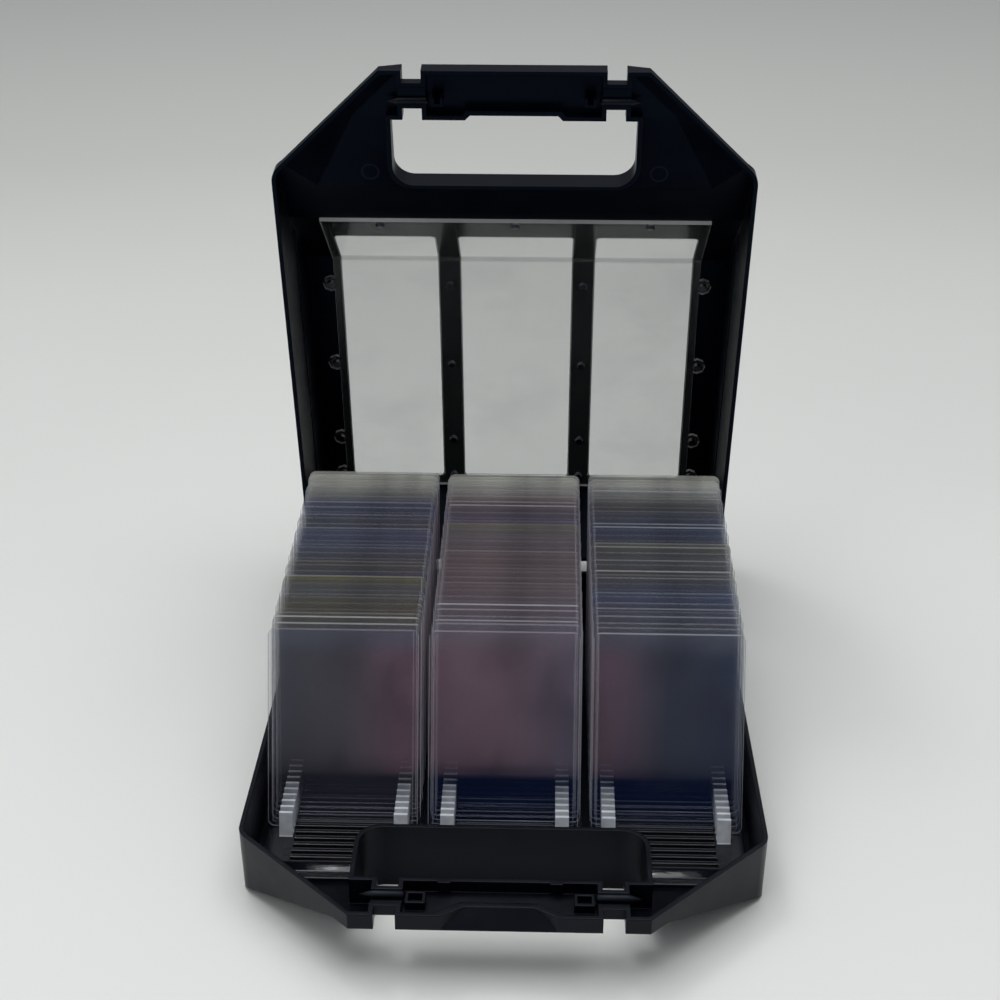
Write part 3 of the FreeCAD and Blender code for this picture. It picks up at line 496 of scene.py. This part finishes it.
# ------------------------------------------------------------ card sleeves
# Rigid PVC sleeves, 76.2 by 101.6 mm: two clear plates, 1.8 mm in all, welded
# along three sides and open at the top, with rounded corners.  Each is drawn as
# its front plate and cut rim, so that one can see through a row of them.
SLEEVES_IN_ROW = 37
SLEEVE_WIDE = 76.2
SLEEVE_TALL = 101.6
SLEEVE_THICK = 1.8
SLEEVE_CORNER = 3.4
SLEEVE_CORNER_STEPS = 5
WELD_IN = 2.6
SLOT_PITCH = 4.91
FIRST_TOOTH = -84.57
SLOT_MID_Z = 11.5
TRAY_TOP = 4.0
LEAN_FIRST = 22.5
LEAN_LAST = 15.2
SLEEVE_CLEAR = 0.1
SLEEVE_LIFT = 0.6
SLEEVE_SHIFT = 0.3
FIRST_SHIFT = {-1: -1.0, 0: -1.0, 1: 0.4}
LIP_TALL = 0.5


def sleeve_edge():
    """Outline of a sleeve in its own plane, millimetres, corners rounded."""
    points = []
    half = SLEEVE_WIDE / 2
    corners = ((half, SLEEVE_TALL, 0), (-half, SLEEVE_TALL, 90), (-half, 0.0, 180), (half, 0.0, 270))
    for x, z, start in corners:
        cx = x - math.copysign(SLEEVE_CORNER, x)
        cz = z - SLEEVE_CORNER if z else SLEEVE_CORNER
        for step in range(SLEEVE_CORNER_STEPS + 1):
            turn = math.radians(start + 90 * step / SLEEVE_CORNER_STEPS)
            points.append((cx + SLEEVE_CORNER * math.cos(turn), cz + SLEEVE_CORNER * math.sin(turn)))
    return points


def sleeve_place(side, slot):
    """Where the base holds a sleeve: each leans back, and none stands quite in line.

    Sine steps that never fall together lift and shift the sleeves unevenly; the
    first of each row rests on the tray, at a shift of its own.
    """
    lean = math.radians(LEAN_FIRST + (LEAN_LAST - LEAN_FIRST) * slot / (SLEEVES_IN_ROW - 1))
    lift = SLEEVE_LIFT * (1 + math.sin(1.7 * slot + 2.0 * side)) if slot else 0.0
    shift = SLEEVE_SHIFT * math.sin(2.3 * slot + side) if slot else FIRST_SHIFT[side]
    z = TRAY_TOP + SLEEVE_CLEAR + lift + SLEEVE_THICK / 2 * math.sin(lean)
    y = FIRST_TOOTH + SLOT_PITCH * (slot + 1.5) - (SLOT_MID_Z - z) * math.tan(lean)
    centre = Vector((side * ROW_PITCH + shift, y, z)) * MM
    return Matrix.Translation(centre) @ Matrix.Rotation(-lean, 4, "X")


def pvc_face(name, left, middle, right, crest, shade, yellowed, yellow):
    """Clear calendered PVC plate, smoky from its dust and scratches and from a painted reflection of the
    room.

    left, middle and right are the tones across it, a painted reflection of the room;
    crest its two tones at the top and shade the one at its foot; the sleeve in slot yellowed is yellow.
    The map "plate" runs 0 to 1 over a plate, and "order" 0 to 1 along the row.
    """
    material, tree = new_material(name)
    place = add(tree, "UVMap", {"uv_map": "plate"})
    split = add(tree, "SeparateXYZ", None, {0: place.outputs[0]})
    # painted reflection: the tones across the plate are the room mirrored in it
    across = add(tree, "ValToRGB", None, {0: split.outputs["X"]})
    across.color_ramp.elements[0].position = 0.12
    across.color_ramp.elements[0].color = tone(left)
    across.color_ramp.elements[1].position = 0.9
    across.color_ramp.elements[1].color = tone(right)
    across.color_ramp.elements.new(0.5).color = tone(middle)
    # the weld shows as a pale line along both sides and the bottom
    centred = add(tree, "Math", {"operation": "SUBTRACT", 1: 0.5}, {0: split.outputs["X"]})
    off_centre = add(tree, "Math", {"operation": "ABSOLUTE"}, {0: centred.outputs[0]})
    from_side = add(tree, "Math", {"operation": "MULTIPLY_ADD", 1: -SLEEVE_WIDE, 2: SLEEVE_WIDE / 2},
                    {0: off_centre.outputs[0]})
    from_foot = add(tree, "Math", {"operation": "MULTIPLY", 1: SLEEVE_TALL}, {0: split.outputs["Y"]})
    nearest = add(tree, "Math", {"operation": "MINIMUM"},
                  {0: from_side.outputs[0], 1: from_foot.outputs[0]})
    off_weld = add(tree, "Math", {"operation": "SUBTRACT", 1: WELD_IN}, {0: nearest.outputs[0]})
    off_weld = add(tree, "Math", {"operation": "ABSOLUTE"}, {0: off_weld.outputs[0]})
    weld = add(tree, "MapRange", {1: 0.15, 2: 0.5, 3: 0.4, 4: 0.0}, {0: off_weld.outputs[0]})
    # painted highlight: the open top edge is rounded and polished, and is drawn as a bright
    # line, brighter on some sleeves than on others, and on the four foremost
    from_top = add(tree, "Math", {"operation": "SUBTRACT", 0: SLEEVE_TALL}, {1: from_foot.outputs[0]})
    lip_highlight = add(tree, "MapRange", {1: 0.4, 2: 0.7, 3: 1.0, 4: 0.0}, {0: from_top.outputs[0]})
    order = add(tree, "UVMap", {"uv_map": "order"})
    chance = add(tree, "TexWhiteNoise", None, {"Vector": order.outputs[0]})
    chance = add(tree, "Math", {"operation": "POWER", 1: 3.6}, {0: chance.outputs["Value"]})
    row = add(tree, "SeparateXYZ", None, {0: order.outputs[0]})
    foremost = add(tree, "Math", {"operation": "LESS_THAN", 1: 3.8 / SLEEVES_IN_ROW}, {0: row.outputs["X"]})
    chance = add(tree, "Math", {"operation": "MULTIPLY_ADD", 1: 0.35},
                 {0: foremost.outputs[0], 2: chance.outputs[0]})
    brightness = add(tree, "MapRange", {3: 0.09, 4: 0.8}, {0: chance.outputs[0]})
    lip_highlight = add(tree, "Math", {"operation": "MULTIPLY"}, {0: lip_highlight.outputs[0], 1: brightness.outputs[0]})
    # painted highlight: a pale outline where the plate's edges catch the light
    rim = add(tree, "MapRange", {1: 0.3, 2: 0.55, 3: 0.5, 4: 0.0}, {0: nearest.outputs[0]})
    weld_and_highlight_lines = add(tree, "Math", {"operation": "MAXIMUM"}, {0: weld.outputs[0], 1: lip_highlight.outputs[0]})
    weld_and_highlight_lines = add(tree, "Math", {"operation": "MAXIMUM"}, {0: weld_and_highlight_lines.outputs[0], 1: rim.outputs[0]})
    # dust and rubbing, with the painted reflection of the room that veils the plate, in patches of 36 mm
    scuff_place = add(tree, "TexCoord")
    scuff = add(tree, "TexNoise", {"Scale": 1 / (35.7 * MM), "Detail": 4.0, "Roughness": 0.6},
                {"Vector": scuff_place.outputs["Object"]})
    dust_and_reflection_veil = add(tree, "MapRange", {1: 0.35, 2: 0.75, 3: 0.2, 4: 0.28}, {0: scuff.outputs["Fac"]})
    # the top catches the light, warmer or cooler by the batch it came from
    batch_map = add(tree, "Mapping", {"Scale": (7.0, 9.0, 1.0)}, {"Vector": order.outputs[0]})
    batch = add(tree, "TexNoise", {"Scale": 1.0, "Detail": 1.0}, {"Vector": batch_map.outputs[0]})
    crests = add(tree, "ValToRGB", None, {0: batch.outputs["Fac"]})
    crests.color_ramp.elements[0].position = 0.38
    crests.color_ramp.elements[0].color = tone(crest[0])
    crests.color_ramp.elements[1].position = 0.6
    crests.color_ramp.elements[1].color = tone(crest[1])
    rise = add(tree, "MapRange", {1: 0.86, 2: 0.94, 3: 0.0, 4: 1.0}, {0: split.outputs["Y"]})
    lit = add(tree, "Mix", {"data_type": "RGBA"},
              {0: rise.outputs[0], 6: across.outputs[0], 7: crests.outputs["Color"]})
    # one older sleeve has yellowed
    apart = add(tree, "Math", {"operation": "SUBTRACT", 1: (yellowed + 0.5) / SLEEVES_IN_ROW},
                {0: row.outputs["X"]})
    apart = add(tree, "Math", {"operation": "ABSOLUTE"}, {0: apart.outputs[0]})
    old = add(tree, "Math", {"operation": "LESS_THAN", 1: 0.4 / SLEEVES_IN_ROW}, {0: apart.outputs[0]})
    body = add(tree, "Mix", {"data_type": "RGBA", 7: tone(yellow)}, {0: old.outputs[0], 6: lit.outputs[2]})
    # the rearmost tops stand free against the daylight
    rear = add(tree, "MapRange", {1: 29.5 / SLEEVES_IN_ROW, 2: 35.5 / SLEEVES_IN_ROW, 3: 0.0, 4: 1.0},
               {0: row.outputs["X"]})
    crown = add(tree, "MapRange", {1: 0.9, 2: 0.98, 3: 0.0, 4: 1.0}, {0: split.outputs["Y"]})
    free = add(tree, "Math", {"operation": "MULTIPLY"}, {0: rear.outputs[0], 1: crown.outputs[0]})
    body = add(tree, "Mix", {"data_type": "RGBA", 7: tone("#ecede2")},
               {0: free.outputs[0], 6: body.outputs[2]})
    # soft clouds, about 30 mm across, where the plates mirror the room
    cloud = add(tree, "TexNoise", {"Scale": 2.6, "Detail": 2.5, "Distortion": 0.6},
                {"Vector": place.outputs[0]})
    cloudy = add(tree, "MapRange", {1: 0.42, 2: 0.66, 3: 0.0, 4: 0.45}, {0: cloud.outputs["Fac"]})
    body = add(tree, "Mix", {"data_type": "RGBA", 7: tone("#3c3a46")},
               {0: cloudy.outputs[0], 6: body.outputs[2]})
    # the foot stands in the dark of the tray, below a quarter of the height
    foot = add(tree, "MapRange", {1: 0.255, 2: 0.285, 3: 1.0, 4: 0.0}, {0: split.outputs["Y"]})
    body = add(tree, "Mix", {"data_type": "RGBA", 7: tone(shade)}, {0: foot.outputs[0], 6: body.outputs[2]})
    # the weld and the painted highlights are drawn in one pale grey
    colour = add(tree, "Mix", {"data_type": "RGBA", 7: tone("#d2d4d8")},
                 {0: weld_and_highlight_lines.outputs[0], 6: body.outputs[2]})
    # how much of the film hides what is behind it: dust and the painted reflection of the room,
    # thinner at the foot, where the plate mirrors only the dark case
    thin_veil_at_foot = add(tree, "MapRange", {3: 1.0, 4: 0.4}, {0: foot.outputs[0]})
    film = add(tree, "Math", {"operation": "MULTIPLY"}, {0: dust_and_reflection_veil.outputs[0], 1: thin_veil_at_foot.outputs[0]})
    film = add(tree, "Math", {"operation": "MULTIPLY_ADD", 1: 0.34},
               {0: old.outputs[0], 2: film.outputs[0]})
    film = add(tree, "Math", {"operation": "MULTIPLY_ADD", 1: 0.3},
               {0: free.outputs[0], 2: film.outputs[0]})
    cover = add(tree, "Math", {"operation": "MAXIMUM"}, {0: film.outputs[0], 1: weld_and_highlight_lines.outputs[0]})
    gloss = add(tree, "MapRange", {1: 0.3, 2: 0.8, 3: 0.05, 4: 0.16}, {0: scuff.outputs["Fac"]})
    pvc = add(tree, "BsdfPrincipled", {"IOR": 1.54},
              {"Base Color": colour.outputs[2], "Roughness": gloss.outputs[0], "Alpha": cover.outputs[0]})
    add(tree, "OutputMaterial", None, {"Surface": pvc.outputs[0]})
    return material


# the guillotined rim of a plate: a hazy lilac grey, nicked every 33 mm or so
pvc_edge, tree = new_material("pvc_cut_edge")
place = add(tree, "TexCoord")
nick = add(tree, "TexNoise", {"Scale": 1 / (33.3 * MM), "Detail": 2.0}, {"Vector": place.outputs["Object"]})
pale = add(tree, "ValToRGB", None, {0: nick.outputs["Fac"]})
pale.color_ramp.elements[0].position = 0.35
pale.color_ramp.elements[0].color = tone("#7d80a0")
pale.color_ramp.elements[1].position = 0.7
pale.color_ramp.elements[1].color = tone("#a6abc6")
solid = add(tree, "MapRange", {1: 0.3, 2: 0.7, 3: 0.5, 4: 0.65}, {0: nick.outputs["Fac"]})
cut = add(tree, "BsdfPrincipled", {"IOR": 1.54, "Roughness": 0.25},
          {"Base Color": pale.outputs["Color"], "Alpha": solid.outputs[0]})
add(tree, "OutputMaterial", None, {"Surface": cut.outputs[0]})


def sleeve_group(name, side, slots, face_finish):
    """One mesh of separate sleeves: a front plate each, and the cut rim round it."""
    outline = sleeve_edge()
    count = len(outline)
    group = bmesh.new()
    plate_map = group.loops.layers.uv.new("plate")
    order_map = group.loops.layers.uv.new("order")
    for slot in slots:
        spot = sleeve_place(side, slot)
        front, back = [[group.verts.new(spot @ (Vector((x, y, z)) * MM)) for x, z in outline]
                       for y in (-SLEEVE_THICK / 2, SLEEVE_THICK / 2)]
        where = dict(zip(front + back, outline + outline))
        made = [group.faces.new(front)]
        for index in range(count):
            after = (index + 1) % count
            rim = group.faces.new((front[after], front[index], back[index], back[after]))
            # the lip along the top is polished like the plate, the rest is cut
            lowest = min(outline[index][1], outline[after][1])
            rim.material_index = 0 if lowest > SLEEVE_TALL - LIP_TALL else 1
            made.append(rim)
        for face in made:
            for loop in face.loops:
                x, z = where[loop.vert]
                loop[plate_map].uv = (x / SLEEVE_WIDE + 0.5, z / SLEEVE_TALL)
                loop[order_map].uv = ((slot + 0.5) / SLEEVES_IN_ROW, 0.5 + 0.3 * side)
    mesh = bpy.data.meshes.new(name)
    group.to_mesh(mesh)
    group.free()
    mesh.materials.append(face_finish)
    mesh.materials.append(pvc_edge)
    piece = bpy.data.objects.new(name, mesh)
    bpy.context.collection.objects.link(piece)
    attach(piece, "base")
    return piece


# painted reflection: left, middle and right are the room mirrored across each row's plates
left_row = pvc_face("pvc_left_row", left="#5f616b", middle="#6a6670", right="#8a6d80",
                    crest=("#737064", "#6a7392"), shade="#4a4b5c", yellowed=11, yellow="#7d7734")
middle_row = pvc_face("pvc_middle_row", left="#907687", middle="#8c7484", right="#80768a",
                      crest=("#827f98", "#908285"), shade="#26355f", yellowed=23, yellow="#8a8574")
right_row = pvc_face("pvc_right_row", left="#806a7c", middle="#4e5567", right="#465068",
                     crest=("#646e8a", "#747474"), shade="#26355f", yellowed=19, yellow="#747669")
for side, label, row_finish in ((-1, "left", left_row), (0, "middle", middle_row), (1, "right", right_row)):
    rear = sleeve_group("clear_sleeves_" + label, side, range(1, SLEEVES_IN_ROW), row_finish)
    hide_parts("card_sleeves_" + label)
    first = sleeve_group("first_sleeve_" + label, side, [0], row_finish)
    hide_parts("front_sleeve_" + label)


# ------------------------------------------------------------- studio light
# One wide soft box above and behind, a weaker one from the front left, a small
# ceiling lamp for the glints, and an even grey surround.
BACKDROP = "#b9bab7"


def soft_box(name, spot, aim, size, power):
    """Square lamp of size metres and power watts, turned from spot to aim."""
    lamp = bpy.data.lights.new(name, "AREA")
    lamp.shape = "SQUARE"
    lamp.size = size
    lamp.energy = power
    holder = bpy.data.objects.new(name, lamp)
    holder.location = spot
    holder.rotation_euler = (Vector(aim) - Vector(spot)).to_track_quat("-Z", "Y").to_euler()
    bpy.context.collection.objects.link(holder)


soft_box("soft_box_above", spot=(-0.05, 0.2, 2.1), aim=(0.0, 0.0, 0.0), size=2.3, power=33.0)
soft_box("soft_box_front", spot=(-1.4, -1.6, 1.7), aim=(0.0, 0.0, 0.1), size=1.0, power=5.0)
soft_box("ceiling_lamp", spot=(-0.45, 0.5, 1.7), aim=(0.0, 0.0, 0.0), size=0.3, power=2.5)

world = bpy.data.worlds.new("surround")
world.use_nodes = True
bpy.context.scene.world = world
room = world.node_tree
room.nodes.clear()
sky = add(room, "TexCoord")
height = add(room, "SeparateXYZ", None, {0: sky.outputs["Generated"]})
walls = add(room, "ValToRGB", None, {0: height.outputs["Z"]})
walls.color_ramp.elements[0].position = 0.0
walls.color_ramp.elements[0].color = tone("#6c6c72")
walls.color_ramp.elements[1].position = 0.8
walls.color_ramp.elements[1].color = tone("#b9bbbe")
# the camera sees an even backdrop, the case mirrors the shaded walls
seen = add(room, "LightPath")
backdrop = add(room, "Mix", {"data_type": "RGBA", 7: tone(BACKDROP)},
               {0: seen.outputs["Is Camera Ray"], 6: walls.outputs["Color"]})
level = add(room, "MapRange", {3: 0.9, 4: 1.0}, {0: seen.outputs["Is Camera Ray"]})
glow = add(room, "Background", None, {"Color": backdrop.outputs[2], "Strength": level.outputs[0]})
add(room, "OutputWorld", None, {"Surface": glow.outputs[0]})


# ------------------------------------------------------------------- camera
# It stands about a metre in front of the case and looks down into it.
SENSOR_WIDE = 36.0
FOCAL_PER_WIDTH = 1.779
EYE = (17.8, -802.2, 572.7)
LOOK_DOWN = 27.71
LOOK_LEFT = 1.6

lens = bpy.data.cameras.new("view")
lens.sensor_width = SENSOR_WIDE
lens.lens = FOCAL_PER_WIDTH * SENSOR_WIDE
lens.clip_start = 50 * MM
eye = bpy.data.objects.new("view", lens)
eye.location = Vector(EYE) * MM
eye.rotation_euler = (math.radians(90 - LOOK_DOWN), 0.0, math.radians(LOOK_LEFT))
bpy.context.collection.objects.link(eye)
bpy.context.scene.camera = eye
bpy.context.scene.view_settings.view_transform = "Standard"
